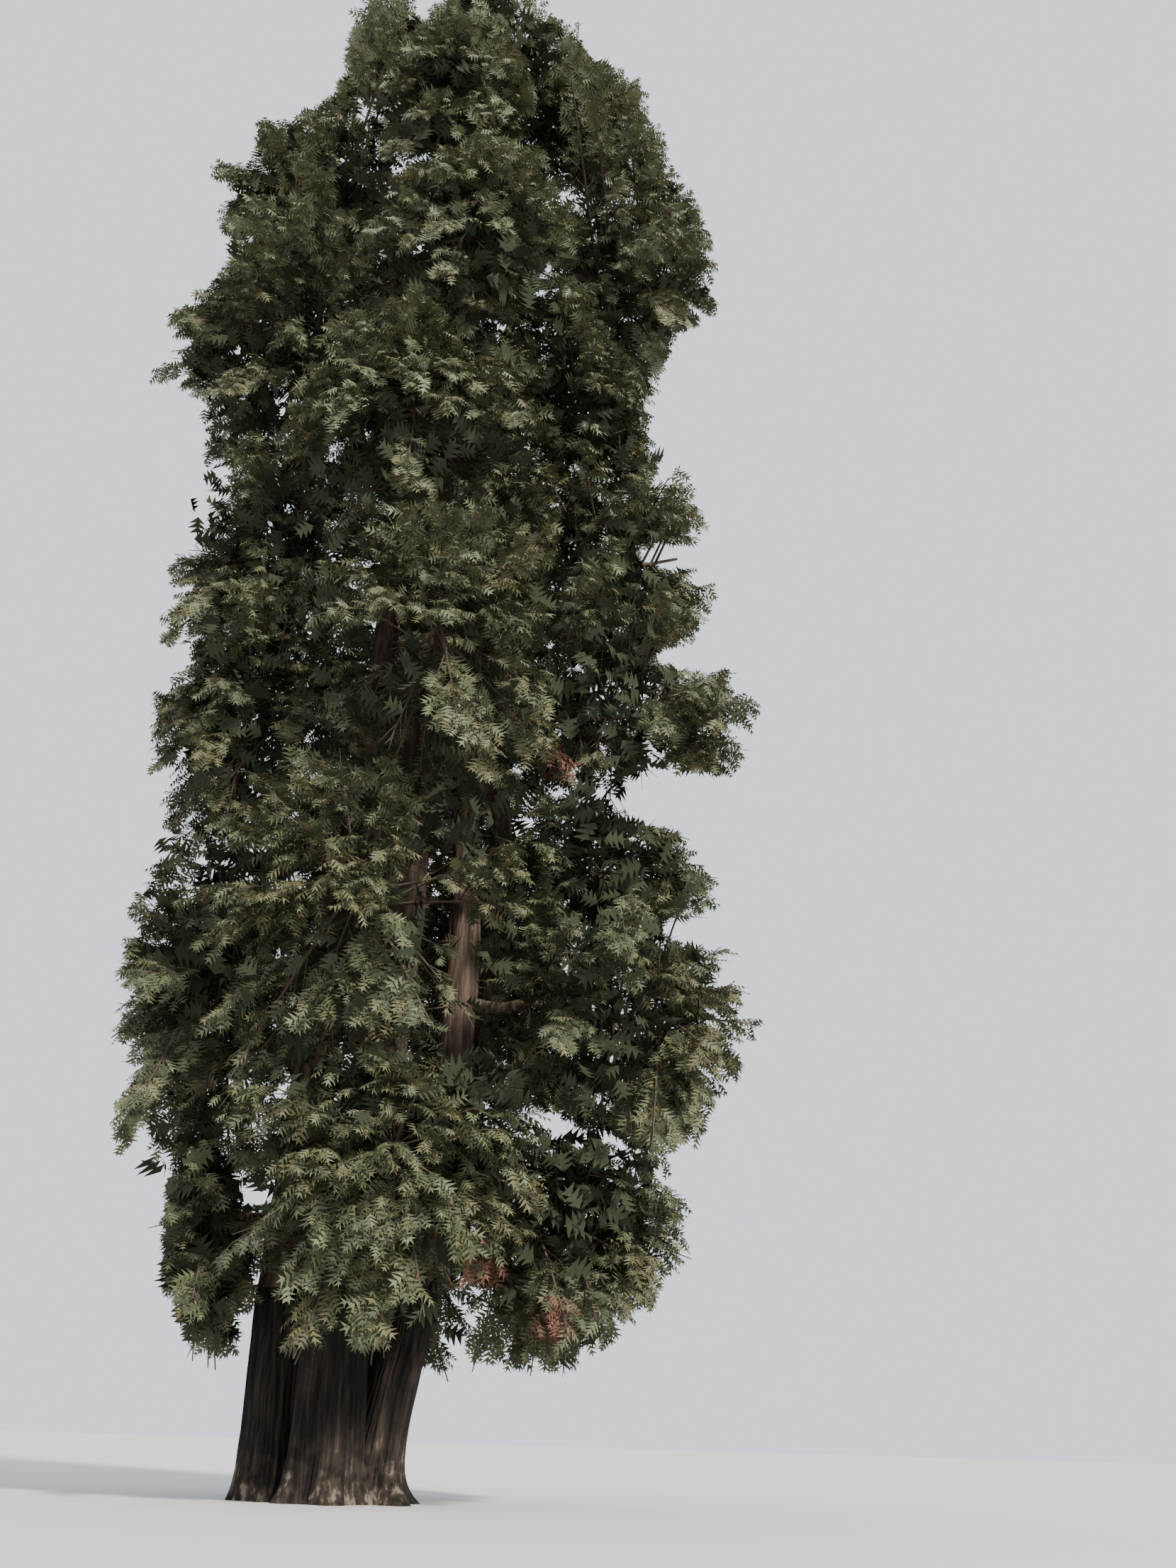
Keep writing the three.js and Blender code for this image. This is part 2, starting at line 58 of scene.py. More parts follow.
# Each stem: where its column stands, how wide that is and how much wider its root flare, its radius
# above the clump and at the tip, and the points that its centre line runs through
STEMS = {
    "stem_middle": {
        "foot": (-0.1, -0.3), "foot_radius": 0.54, "flare": 0.24, "radius": 0.5, "tip_radius": 0.07,
        "route": [(-0.12, -0.42, 3.0), (0.37, -0.2, 9.7), (0.27, -0.15, 12.6), (0.5, -0.1, 15.5),
                  (0.42, 0.1, 28.7)],
    },
    "stem_left": {
        "foot": (-0.94, 0.1), "foot_radius": 0.5, "flare": 0.12, "radius": 0.44, "tip_radius": 0.07,
        "route": [(-1.06, 0.14, 3.0), (-0.92, 0.4, 9.0), (-0.54, 0.5, 15.0), (-0.75, 0.45, 21.0),
                  (-1.4, 0.3, 26.4)],
    },
    "stem_right": {
        "foot": (0.47, 0.1), "foot_radius": 0.4, "flare": 0.5, "radius": 0.38, "tip_radius": 0.06,
        "route": [(1.0, 0.16, 3.0), (1.42, 0.2, 8.0), (1.2, 0.3, 13.5), (1.3, 0.3, 20.5),
                  (2.1, 0.2, 27.0)],
    },
    "stem_back": {
        "foot": (0.1, 0.7), "foot_radius": 0.5, "flare": 0.24, "radius": 0.42, "tip_radius": 0.06,
        "route": [(0.4, 1.05, 3.0), (1.85, 1.3, 8.6), (1.6, 1.5, 14.5), (1.0, 1.3, 22.5)],
    },
}
STEM_TAPER = 0.85

# The crown hangs round this upright axis. On each side of it stand masses of foliage, and each pair
# gives the height of one mass's tip and how far that tip is from the axis. The masses of a side sway
# by some degrees to the two sides of its azimuth, and their width is a share of the way out.
CROWN_AXIS = (0.5, 0.1)
CROWN_FOOT = 1.95
CROWN_HEIGHT = 34.3
SIDES = {
    "right": {
        "azimuth": 0, "sway": 5, "stem": "stem_right", "width_share": 1.25,
        "tips": [(3.9, 5.0), (7.5, 6.1), (10.5, 5.5), (13.6, 6.2), (17.4, 5.6), (21.0, 4.4),
                 (25.6, 5.4), (30.1, 3.8)],
    },
    "left": {
        "azimuth": 180, "sway": 6, "stem": "stem_left", "width_share": 1.25,
        "tips": [(3.9, 3.8), (8.2, 5.0), (13.4, 5.1), (17.3, 5.3), (22.4, 5.9), (27.3, 5.0)],
    },
    "front": {
        "azimuth": 270, "sway": 7, "stem": "stem_middle", "width_share": 1.3,
        "tips": [(4.6, 4.6), (8.6, 5.2), (13.6, 5.3), (19.0, 5.0), (24.0, 4.5), (28.6, 3.5)],
    },
    "back": {
        "azimuth": 90, "sway": 10, "stem": "stem_back", "width_share": 1.3,
        "tips": [(4.9, 4.8), (10.2, 5.3), (15.2, 5.2), (20.2, 5.0), (24.8, 4.4), (29.2, 3.3)],
    },
}
LEADERS = [
    {"name": "top", "tip": (0.45, 0.1, CROWN_HEIGHT), "start": (0.42, 0.1, 28.7), "width": 1.75},
    {"name": "spire", "tip": (-2.1, 0.15, 33.1), "start": (-0.85, 0.2, 29.2), "width": 1.35},
]
SPIRE_FOOT_HEIGHT = 26.2

# A mass: how much of its bough stays bare, in metres and at most as a share of the mass's
# half-length, the room between its space and the bark, and how its tip leans, in degrees. A mass that
# rises by more than UPRIGHT of its length takes its sides from the way to the back.
BARE_REACH = 0.85
BARE_SHARE = 0.6
STEM_ROOM = 0.1
LOWEST_LEAN = -14
HIGHEST_LEAN = 34
LEADER_BARE_SHARE = 0.1
UPRIGHT = 0.9

# The space of a mass: rounded like a box whose edges are worn, narrower to its tip and fuller towards
# the stems, with a margin to the next mass. A way through it is walked in steps.
HEIGHT_SHARE = 1.3
SKIRT_SHARE = 1.35
SPACE_POWER = 2.4
TIP_TAPER = 0.7
INNER_FULLNESS = 0.8
SPACE_MARGIN = 0.025
WAY_STEP = 0.04
LONGEST_WAY = 6.0

# Boughs: the foot is lower or higher on the stem than the mass by the lean of the bough. A mass more
# than STEM_SHORT above the top of its side's stem hangs on the middle stem. Beads along the stems and
# the boughs stand for their wood where foliage has to stay clear.
BOUGH_FOOT_RADIUS = 0.15
BOUGH_TIP_RADIUS = 0.085
BOUGH_DROP = 0.5
BOUGH_SAG = 0.12
BOUGH_BEND = 0.3
BOUGH_ENTRY = 0.25
BOUGH_BELOW_TOP = 0.6
STEM_SHORT = 2.4
STEM_BEADS = 160
BOUGH_BEADS = 24

# The source's sprig and twigs in a mass. Its stream of numbers first shapes the core's corners, then
# gives three numbers to each twig.
CORE_CORNERS = 42
SPRIG_RADIUS = 0.065
SPRIG_TIP_RADIUS = 0.027
SPRIG_ROWS = 9
SPRIG_SIDES = 6
SPRIG_BOW = 0.06
SPRIG_STOP = 0.6
SPRIG_STOP_MOST = 0.9
SOURCE_TWIGS = 7
TWIG_FIRST = 0.12
TWIG_LAST = 0.86
FIRST_SPLAY = -0.5
LAST_SPLAY = 0.8
GOLDEN_TURN = 2.39996
TURN_UNEVEN = 0.5
TWIG_UNEVEN = 0.1

# The foliage goes on from there with more limbs in a mass. Here and below, lengths are in metres,
# turns are in radians, and a pair is a range of uneven values or the first and the last of a taper.
LIMBS_PER_METRE = 4.9
LIMB_UNEVEN = 0.2
LIMB_STRAY = 0.3
LIMB_CUT = 0.75
LIMB_TESTS = (0.35, 0.55, 0.75, 1.0)
SHORTEST_LIMB = 0.35
ONWARD_FROM = 0.7
ONWARD_REACH = 0.97
LOWEST_SAG = 1.0
HIGHEST_SAG = -0.35
LIMB_BOW = 0.16
LIMB_BOWS = (0.5, 1.4)
LIMB_RADII = (0.036, 0.01)
LIMB_ROWS = 5
LIMB_SIDES = 3
FULL_LIMB = 2.0

# Twigs on the limbs. Each fourth one stands up, and all are combed outward and down.
FEWEST = 3
TWIG_SPACING = 0.17
TWIG_JITTER = (0.2, 1.0)
TWIG_NEAREST = 0.08
TWIG_CLEAR = 0.16
TWIG_LENGTH = 0.85
TWIG_LENGTHS = (0.6, 1.15)
TWIG_SHORTENS = 0.5
TWIG_MOST = 0.75
TWIG_MOST_MORE = 0.2
TWIG_ROLL = 0.45
STANDING_EVERY = 4
STANDING_ROLL = 1.4
TWIG_LEAN = 0.95
TWIG_LEANS = (0.75, 1.15)
TWIG_CLOSES = 0.55
TWIG_STUB = 0.45
TWIG_MIDDLE = 0.6
LOWEST_TWIG_SAG = 0.3
HIGHEST_TWIG_SAG = 0.1
TWIG_BOWS = (0.2, 1.3)
TWIG_RADII = (0.013, 0.004)
TWIG_ROWS = 2
BARE_TWIGS = 0.04
COMB_OUT = 0.5
COMB_DOWN = 0.4
COMB_LOWEST = 1.1
COMB_HIGHEST = 0.3
COMB_SHARES = (0.5, 1.3)

# Sprays on the twigs, and where in a mass they stand
SPRAY_SPACING = 0.057
SPRAY_CLEAR = 0.12
SPRAY_LENGTH = 0.31
SPRAY_LENGTHS = (0.7, 1.2)
SPRAY_LONGEST = 1.1
SPRAY_SHORTENS = 0.3
SPRAY_WIDTH = 0.125
SPRAY_ROLL = 0.5
SPRAY_LEAN = 0.8
SPRAY_LEANS = (0.6, 1.3)
END_SPRAY = 0.99
END_LEAN = 0.2
SPRAY_DROOPS = (0.1, 0.6)
SPRAY_TILT = 0.45
SPRAY_EDGE = 1.02
BARE_DEPTH = 0.42

# Large sprays in the depth of a mass, coloured dark as painted shade, and leafy shoots straight from the
# stems
INNER_SPRAYS = 640
INNER_SHARES = (0.2, 0.66)
INNER_FLATTER = (1, 1, 0.6)
INNER_LENGTH = 0.46
INNER_LENGTHS = (0.7, 1.1)
INNER_ROOT_EDGE = 0.8
INNER_TIP_EDGE = 0.85
SPROUTS_PER_METRE = 9
SPROUT_FOOT = 3.05
SPROUT_FALLS = (-0.3, 0.6)
SPROUT_LENGTHS = (0.5, 1.6)
SPROUT_SAGS = (0.0, 0.3)
SPROUT_RADII = (0.016, 0.005)

# Seeds of the uneven growth
GROWTH_SEED = 100
STRAY_SEED = 300
DEPTH_SEED = 9
BOUGH_SEED = 5

# The photograph's frame, in its own pixels, and where its camera stood
PHOTO_HEIGHT = 2212
FOCAL_PIXELS = 2025
SENSOR = 36
CAMERA_AT = (3.52, -24.0, 0.9)
CAMERA_PITCH = 24.68
CAMERA_ROLL = 1.66
CAMERA_FAR = 1000

UP = np.array([0.0, 0.0, 1.0])
BACK = np.array([0.0, 1.0, 0.0])


# Small helpers
def mix(a, b, share):
    return a + (b - a) * share


def unit(vectors):
    return vectors / np.linalg.norm(vectors, axis=-1, keepdims=True)


def seeded(seed):
    """The source's stream of numbers from 0 to 1."""
    state = (seed * 2654435761) & 0xFFFFFFFF
    while True:
        state = (state * 1664525 + 1013904223) & 0xFFFFFFFF
        yield state / 4294967296


class Curve:
    """A centripetal Catmull-Rom curve through points, walked by its length."""

    def __init__(self, points, divisions=200):
        knots = np.array(points, float)
        knots = np.vstack([2 * knots[0] - knots[1], knots, 2 * knots[-1] - knots[-2]])
        spans = len(knots) - 3
        ways = np.linspace(0, spans, divisions + 1)
        first = np.minimum(ways.astype(int), spans - 1)
        t = (ways - first)[:, None]
        p0, p1, p2, p3 = (knots[first + step] for step in range(4))
        d0, d1, d2 = (
            np.sqrt(np.linalg.norm(b - a, axis=1))[:, None] for a, b in ((p0, p1), (p1, p2), (p2, p3))
        )
        leaving = ((p1 - p0) / d0 - (p2 - p0) / (d0 + d1) + (p2 - p1) / d1) * d1
        arriving = ((p2 - p1) / d1 - (p3 - p1) / (d1 + d2) + (p3 - p2) / d2) * d1
        square = -3 * p1 + 3 * p2 - 2 * leaving - arriving
        cube = 2 * p1 - 2 * p2 + leaving + arriving
        self.points = p1 + leaving * t + square * t**2 + cube * t**3
        steps = np.linalg.norm(np.diff(self.points, axis=0), axis=1)
        self.lengths = np.concatenate([[0], np.cumsum(steps)])

    def at(self, share):
        way = np.asarray(share, float) * self.lengths[-1]
        return np.stack([np.interp(way, self.lengths, self.points[:, axis]) for axis in range(3)], -1)


# The stems and the masses, as the source has them
stem_curves = {name: Curve(stem["route"]) for name, stem in STEMS.items()}


def stem_radius(stem, share):
    return mix(stem["radius"], stem["tip_radius"], np.asarray(share, float) ** STEM_TAPER)


def foot_of(name):
    return STEMS[name]["route"][0][2]


def top_of(name):
    return STEMS[name]["route"][-1][2]


def stem_at(name, height):
    foot = foot_of(name)
    share = min(max((height - foot) / (top_of(name) - foot), 0), 1)
    return stem_curves[name].at(share), float(stem_radius(STEMS[name], share))


def stem_edge(name, height, out):
    """How far a stem's bark is from the crown's axis, on the way out."""
    centre, radius = stem_at(name, height)
    return float((centre - np.array([*CROWN_AXIS, centre[2]])) @ out) + radius


def side_masses(name, side):
    """The masses of one side, each with its tip, its centre, the way it points and its half sizes."""
    made = []
    tips = side["tips"]
    for index, (height, reach) in enumerate(tips):
        below = tips[index - 1][0] if index > 0 else 2 * CROWN_FOOT - height
        above = tips[index + 1][0] if index < len(tips) - 1 else 2 * height - below
        azimuth = math.radians(side["azimuth"] + side["sway"] * (-1 if index % 2 else 1))
        out = np.array([math.cos(azimuth), math.sin(azimuth), 0])
        lean = math.radians(mix(LOWEST_LEAN, HIGHEST_LEAN, height / CROWN_HEIGHT))
        along = out * math.cos(lean) + UP * math.sin(lean)
        tip = np.array([*CROWN_AXIS, height]) + out * reach
        stem = "stem_middle" if height - STEM_SHORT > top_of(side["stem"]) else side["stem"]
        inner = stem_edge(stem, height, out)
        half = (reach - inner - STEM_ROOM) / 2 / math.cos(lean)
        centre = tip - along * half
        half_height = min(HEIGHT_SHARE * (above - below) / 2, SKIRT_SHARE * (centre[2] - CROWN_FOOT))
        half_width = (reach + inner) / 2 * side["width_share"]
        bare = min(BARE_REACH, BARE_SHARE * half)
        made.append({
            "name": f"{name}_{index + 1}", "stem": stem, "tip": tip, "centre": centre, "along": along,
            "sizes": np.array([half, half_width, half_height]), "bare": bare,
        })
    return made


def leader_mass(leader):
    tip, start = np.array(leader["tip"]), np.array(leader["start"])
    along = unit(tip - start)
    half = np.linalg.norm(tip - start) / 2
    sizes = np.array([half, leader["width"], leader["width"]])
    return {
        "name": leader["name"], "stem": "stem_middle", "tip": tip, "centre": tip - along * half,
        "along": along, "sizes": sizes, "bare": LEADER_BARE_SHARE * half,
    }


masses = [mass for name, side in SIDES.items() for mass in side_masses(name, side)]
masses += [leader_mass(leader) for leader in LEADERS]
for mass in masses:
    upright = abs(mass["along"][2]) > UPRIGHT
    mass["side"] = unit(np.cross(mass["along"], BACK if upright else UP))
    mass["up"] = np.cross(mass["side"], mass["along"])
    mass["basis"] = np.stack([mass["along"], mass["side"], mass["up"]])
centres = np.array([mass["centre"] for mass in masses])
spaces = np.array([mass["basis"] / mass["sizes"][:, None] for mass in masses])


def depths(points):
    """How far out each point lies in each mass, from 0 at its centre to 1 at its edge."""
    offsets = points[:, None, :] - centres
    shares = np.einsum("mij,nmj->nmi", spaces, offsets)
    along = shares[..., 0]
    waist = 1 - TIP_TAPER * np.clip(along, 0, 1)
    across = shares[..., 1:] / waist[..., None]
    length = np.where(along < 0, -INNER_FULLNESS * along, along)
    return (length**SPACE_POWER + (np.abs(across) ** SPACE_POWER).sum(2)) ** (1 / SPACE_POWER)


# Beads along the stems and the boughs, which foliage stays clear of: their places and their radii
bead_places, bead_radii = [], []


def keeps_to(index, points, edge):
    """Whether each point is in its mass's own space, above the crown's foot and clear of every limb."""
    every = depths(points)
    own = every[:, index].copy()
    every[:, index] = np.inf
    kept = (own <= edge) & (points[:, 2] >= CROWN_FOOT) & (every.min(1) >= own + SPACE_MARGIN)
    if bead_places:
        where = np.flatnonzero(kept)
        kept[where] = is_clear(points[where])
    return kept


def is_clear(points):
    """Whether each point is clear of every stem and bough."""
    beads, radii = np.concatenate(bead_places), np.concatenate(bead_radii)
    gaps = np.linalg.norm(points[:, None, :] - beads, axis=2) - radii
    return (gaps > CLEARANCE).all(1)


def way_out(index, roots, directions):
    """How far each way from a root stays in its mass's space."""
    ways = np.arange(WAY_STEP, LONGEST_WAY, WAY_STEP)
    points = roots[:, None, :] + directions[:, None, :] * ways[None, :, None]
    kept = keeps_to(index, points.reshape(-1, 3), 1).reshape(len(roots), -1)
    return kept.cumprod(1).sum(1) * WAY_STEP


for index, mass in enumerate(masses):
    most = mass["sizes"][0] - mass["bare"]
    way = way_out(index, mass["centre"][None], -mass["along"][None])[0]
    way = min(way, math.ceil(most / WAY_STEP) * WAY_STEP)
    mass["start"] = mass["centre"] - mass["along"] * way
    if mass["name"] == "top":
        mass["start"] = np.array(LEADERS[0]["start"])


def bough_curve(mass):
    rise = SPIRE_FOOT_HEIGHT if mass["name"] == "spire" else mass["start"][2] - BOUGH_DROP * mass["along"][2]
    foot = stem_at(mass["stem"], min(rise, top_of(mass["stem"]) - BOUGH_BELOW_TOP))[0]
    length = np.linalg.norm(mass["start"] - foot)
    middle = (foot + mass["start"]) / 2 - UP * BOUGH_SAG * length
    before = mass["start"] - mass["along"] * BOUGH_ENTRY * length
    return Curve([foot, mix(middle, before, BOUGH_BEND), mass["start"]])


def bough_radius(share):
    return mix(BOUGH_FOOT_RADIUS, BOUGH_TIP_RADIUS, np.asarray(share, float))


def add_beads(curve, radius_at, count):
    shares = np.linspace(0, 1, count + 1)
    bead_places.append(curve.at(shares))
    bead_radii.append(radius_at(shares))


# The top mass stands on the middle stem itself, and a bough carries each of the others
carried = [mass for mass in masses if mass["name"] != "top"]
for mass in carried:
    mass["bough"] = bough_curve(mass)
for name, stem in STEMS.items():
    add_beads(stem_curves[name], lambda share, stem=stem: stem_radius(stem, share), STEM_BEADS)
for mass in carried:
    add_beads(mass["bough"], bough_radius, BOUGH_BEADS)


# Meshes and materials
def mesh_piece(name, points, faces, material, smooth=False):
    """One object from an array of points and an array of triangles or quads."""
    mesh = bpy.data.meshes.new(name)
    corners = faces.shape[1]
    mesh.vertices.add(len(points))
    mesh.vertices.foreach_set("co", np.ascontiguousarray(points, np.float32).ravel())
    mesh.loops.add(faces.size)
    mesh.loops.foreach_set("vertex_index", np.ascontiguousarray(faces, np.int32).ravel())
    mesh.polygons.add(len(faces))
    mesh.polygons.foreach_set("loop_start", np.arange(0, faces.size, corners, dtype=np.int32))
    mesh.polygons.foreach_set("loop_total", np.full(len(faces), corners, np.int32))
    if smooth:
        mesh.polygons.foreach_set("use_smooth", np.ones(len(faces), bool))
    mesh.update(calc_edges=True)
    piece = bpy.data.objects.new(name, mesh)
    bpy.context.scene.collection.objects.link(piece)
    mesh.materials.append(material)
    return piece


def on_tree(piece, nodes):
    """A piece of the tree that stands for CAD nodes."""
    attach(piece, "root")
    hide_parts(*nodes)


def colour(red, green, blue):
    """A colour given as on a screen, from 0 to 255, as Blender's linear values."""
    shares = np.array([red, green, blue]) / 255
    linear = np.where(shares <= 0.04045, shares / 12.92, ((shares + 0.055) / 1.055) ** 2.4)
    return (*linear.tolist(), 1.0)


GLOSS = 0.25
BARK_ROUGHNESS = 0.92
TWIG_ROUGHNESS = 0.9
NEEDLE_ROUGHNESS = 0.6
FLOOR_ROUGHNESS = 0.9


def plain_material(name, base, roughness, gloss=GLOSS):
    material = bpy.data.materials.new(name)
    material.use_nodes = True
    shader = material.node_tree.nodes["Principled BSDF"]
    shader.inputs["Base Color"].default_value = base
    shader.inputs["Roughness"].default_value = roughness
    shader.inputs["Specular IOR Level"].default_value = gloss
    return material


# Bark: where its tones lie on the fibre's noise, how high and in how much of it the foot is painted
# pale with patches of sunlight, and how deep the fibres are
BARK_STOPS = (0.34, 0.5, 0.7, 0.84)
SUNLIT_BELOW = 1.1
SUNLIT_FULLY = 0.3
SUN_PATCHES = {"Scale": 4.0, "Detail": 2.0}
SUN_PATCH_EDGES = (0.42, 0.6)
SUNLIT_LIFT = 0.24
FIBRE = {"Scale": 1.0, "Detail": 5.0, "Roughness": 0.65}
FIBRE_RELIEF = {"Strength": 0.8, "Distance": 0.05}
# The palest bark tone is painted sunlight, for the lit patches at the foot and the highest ridges
SUNLIT_PALE = colour(112, 102, 90)


def add_node(material, kind, values):
    """A shader node with a value on each named socket."""
    node = material.node_tree.nodes.new(f"ShaderNode{kind}")
    for socket, value in values.items():
        node.inputs[socket].default_value = value
    return node


def bark_material(name, dark, middle, pale, grain):
    """Fibrous bark: streaks along the height, with painted shade in the furrows and painted light on the
    ridges, and painted patches of sunlight at the foot.
    """
    material = plain_material(name, middle, BARK_ROUGHNESS)
    links = material.node_tree.links
    shader = material.node_tree.nodes["Principled BSDF"]
    place = add_node(material, "TexCoord", {}).outputs["Object"]
    stretch = add_node(material, "Mapping", {"Scale": grain})
    links.new(place, stretch.inputs["Vector"])
    fibre = add_node(material, "TexNoise", FIBRE)
    links.new(stretch.outputs["Vector"], fibre.inputs["Vector"])
    # The tones follow the same noise as the bump: the dark stop is painted shade in the furrows, the pale
    # stops painted light on the ridges
    tones = add_node(material, "ValToRGB", {})
    first, last = tones.color_ramp.elements
    first.position, first.color = BARK_STOPS[0], dark
    last.position, last.color = BARK_STOPS[3], SUNLIT_PALE
    for position, tint in zip(BARK_STOPS[1:3], (middle, pale)):
        tones.color_ramp.elements.new(position).color = tint
    # Painted sunlight: low on the clump, most below 0.3 m and none above 1.1 m, noise patches lift the bark
    # towards its palest tone
    height = add_node(material, "SeparateXYZ", {})
    links.new(place, height.inputs["Vector"])
    low = add_node(material, "MapRange", {"From Min": SUNLIT_BELOW, "From Max": SUNLIT_FULLY})
    links.new(height.outputs["Z"], low.inputs["Value"])
    patches = add_node(material, "TexNoise", SUN_PATCHES)
    links.new(place, patches.inputs["Vector"])
    sunlit_share = add_node(
        material, "MapRange", {"From Min": SUN_PATCH_EDGES[0], "From Max": SUN_PATCH_EDGES[1], "To Max": SUNLIT_LIFT}
    )
    links.new(patches.outputs["Fac"], sunlit_share.inputs["Value"])
    lift = add_node(material, "Math", {})
    lift.operation = "MULTIPLY_ADD"
    links.new(low.outputs["Result"], lift.inputs[0])
    links.new(sunlit_share.outputs["Result"], lift.inputs[1])
    links.new(fibre.outputs["Fac"], lift.inputs[2])
    links.new(lift.outputs["Value"], tones.inputs["Fac"])
    links.new(tones.outputs["Color"], shader.inputs["Base Color"])
    bump = add_node(material, "Bump", FIBRE_RELIEF)
    links.new(fibre.outputs["Fac"], bump.inputs["Height"])
    links.new(bump.outputs["Normal"], shader.inputs["Normal"])
    return material


# Bark in relief: how high its ridges stand and which share of that height lies inside the solid, how
# the rings of points crowd to the foot, and how the relief thins to a stem's tip and where a stem is
# thinner than its full radius for bark
BARK_RELIEF = 0.06
RIDGE_SUNK = 0.75
CLUMP_SIDES = 192
CLUMP_ROWS = 44
CLUMP_CROWDING = 1.15
STEM_SIDES = 36
STEM_ROWS = 90
STEM_CROWDING = 1.2
BARK_THINS = 0.3
FULL_BARK_RADIUS = 0.3
BOUGH_SIDES = 12
BOUGH_ROWS = 12
BOUGH_KNOBS = (0.97, 1.02)


def furrows(turn, height, phase):
    """Height of the bark's ridges, from 0 in a furrow to 1 on a ridge, round and up a stem.

    The turn has whole factors everywhere, so that the pattern closes round the stem.
    """
    sway = 1.1 * np.sin(1.3 * height + 3 * turn + phase) + 0.6 * np.sin(3.1 * height - 2 * turn + 2 * phase)
    drift = 0.9 * np.sin(0.8 * height - 4 * turn + 3 * phase) + 0.5 * np.sin(4.3 * height + turn)
    wide = np.abs(np.sin(11 * turn + sway)) ** 0.7
    narrow = np.abs(np.sin(19 * turn - 1.5 * drift)) ** 0.7
    return 0.6 * wide + 0.4 * narrow


def bark_relief(turn, height, phase):
    """How far the bark stands out of the solid, as a share of its relief."""
    return furrows(turn, height, phase) - RIDGE_SUNK


def rings(shares, sides):
    """A grid of shares of the way up and of turns round, a row for each ring."""
    return np.meshgrid(shares, np.arange(sides) / sides * 2 * np.pi, indexing="ij")


def wall_faces(rows, sides):
    """The quads between rings of points, open at both ends."""
    row, side = np.meshgrid(np.arange(rows - 1), np.arange(sides), indexing="ij")
    a = row * sides + side
    b = row * sides + (side + 1) % sides
    return np.stack([a, b, b + sides, a + sides], -1).reshape(-1, 4)


def column_radius(stem, turn, height, phase):
    climb = height / CLUMP_HEIGHT
    flute = np.cos(FLUTES * turn + phase)
    round_radius = mix(stem["foot_radius"], stem["radius"], climb)
    flare = stem["flare"] * np.exp(-height / FLARE_HEIGHT)
    fluted = round_radius * (1 + FLUTE_DEPTH * (1 - climb) * flute)
    return fluted + flare * (1 - FLARE_FLUTED + FLARE_FLUTED * flute)


def column_centre(stem, height):
    climb = (np.asarray(height) / CLUMP_HEIGHT)[..., None]
    return mix(np.array(stem["foot"]), np.array(stem["route"][0][:2]), climb)


def in_neighbour(points, own):
    """Whether each point lies well inside another column of the clump."""
    hidden = np.zeros(len(points), bool)
    for index, other in enumerate(STEMS.values()):
        if index == own:
            continue
        away = points[:, :2] - column_centre(other, points[:, 2])
        around = np.arctan2(away[:, 1], away[:, 0])
        reach = column_radius(other, around, points[:, 2], index * FLUTE_PHASE) - 2 * BARK_RELIEF
        hidden |= np.linalg.norm(away, axis=1) < reach
    return hidden


def clump_bark(material):
    """Four fluted columns with ridged bark, without the walls that lie inside a neighbour."""
    walls = []
    for index, stem in enumerate(STEMS.values()):
        height, turn = rings(CLUMP_HEIGHT * np.linspace(0, 1, CLUMP_ROWS) ** CLUMP_CROWDING, CLUMP_SIDES)
        phase = index * FLUTE_PHASE
        radius = column_radius(stem, turn, height, phase) + BARK_RELIEF * bark_relief(turn, height, phase)
        centre = column_centre(stem, height)
        x = centre[..., 0] + radius * np.cos(turn)
        y = centre[..., 1] + radius * np.sin(turn)
        points = np.stack([x, y, height], -1).reshape(-1, 3)
        hidden = in_neighbour(points, index)
        faces = wall_faces(CLUMP_ROWS, CLUMP_SIDES)
        walls.append((points, faces[~hidden[faces].all(1)]))
    return bark_piece("bark_clump", walls, material)


def joined(parts):
    """The points and the faces of many parts as one array each."""
    points, faces, count = [], [], 0
    for part_points, part_faces in parts:
        points.append(part_points)
        faces.append(part_faces + count)
        count += len(part_points)
    return np.concatenate(points), np.concatenate(faces)


def bark_piece(name, parts, material):
    """One smooth piece from parts, without the points that no face uses."""
    points, faces = joined(parts)
    used, faces = np.unique(faces, return_inverse=True)
    return mesh_piece(name, points[used], faces.reshape(-1, 4), material, smooth=True)


def stem_bark(name, index, material):
    stem, curve = STEMS[name], stem_curves[name]
    share, turn = rings(np.linspace(0, 1, STEM_ROWS) ** STEM_CROWDING, STEM_SIDES)
    centre = curve.at(share)
    thinned = np.minimum(1, stem_radius(stem, share) / FULL_BARK_RADIUS)
    relief = mix(BARK_RELIEF, BARK_RELIEF * BARK_THINS, share) * thinned
    radius = stem_radius(stem, share) + relief * bark_relief(turn, centre[..., 2], index * FLUTE_PHASE)
    round_way = np.stack([np.cos(turn), np.sin(turn), np.zeros_like(turn)], -1)
    points = (centre + radius[..., None] * round_way).reshape(-1, 3)
    return bark_piece(f"bark_{name}", [(points, wall_faces(STEM_ROWS, STEM_SIDES))], material)


def tubes(starts, curve_points, radii, sides):
    """Quads of many tapering tubes at once. curve_points is tubes x steps x 3, radii is tubes x steps."""
    count, steps = radii.shape
    ahead = unit(np.diff(curve_points, axis=1))
    ahead = np.concatenate([ahead, ahead[:, -1:]], 1)
    first = unit(np.cross(ahead, starts[:, None, :]))
    second = np.cross(ahead, first)
    turn = np.arange(sides) / sides * 2 * np.pi
    ring = first[:, :, None] * np.cos(turn)[:, None] + second[:, :, None] * np.sin(turn)[:, None]
    points = curve_points[:, :, None] + radii[:, :, None, None] * ring
    base = np.arange(count)[:, None, None] * steps * sides
    faces = (wall_faces(steps, sides)[None] + base).reshape(-1, 4)
    return points.reshape(-1, 3), faces


STEEP = 0.8


def sideways_of(directions):
    """A vector that isn't near each direction, to start a tube's rings from."""
    steep = np.abs(directions[..., 2:3]) > STEEP
    return np.where(steep, BACK, UP)


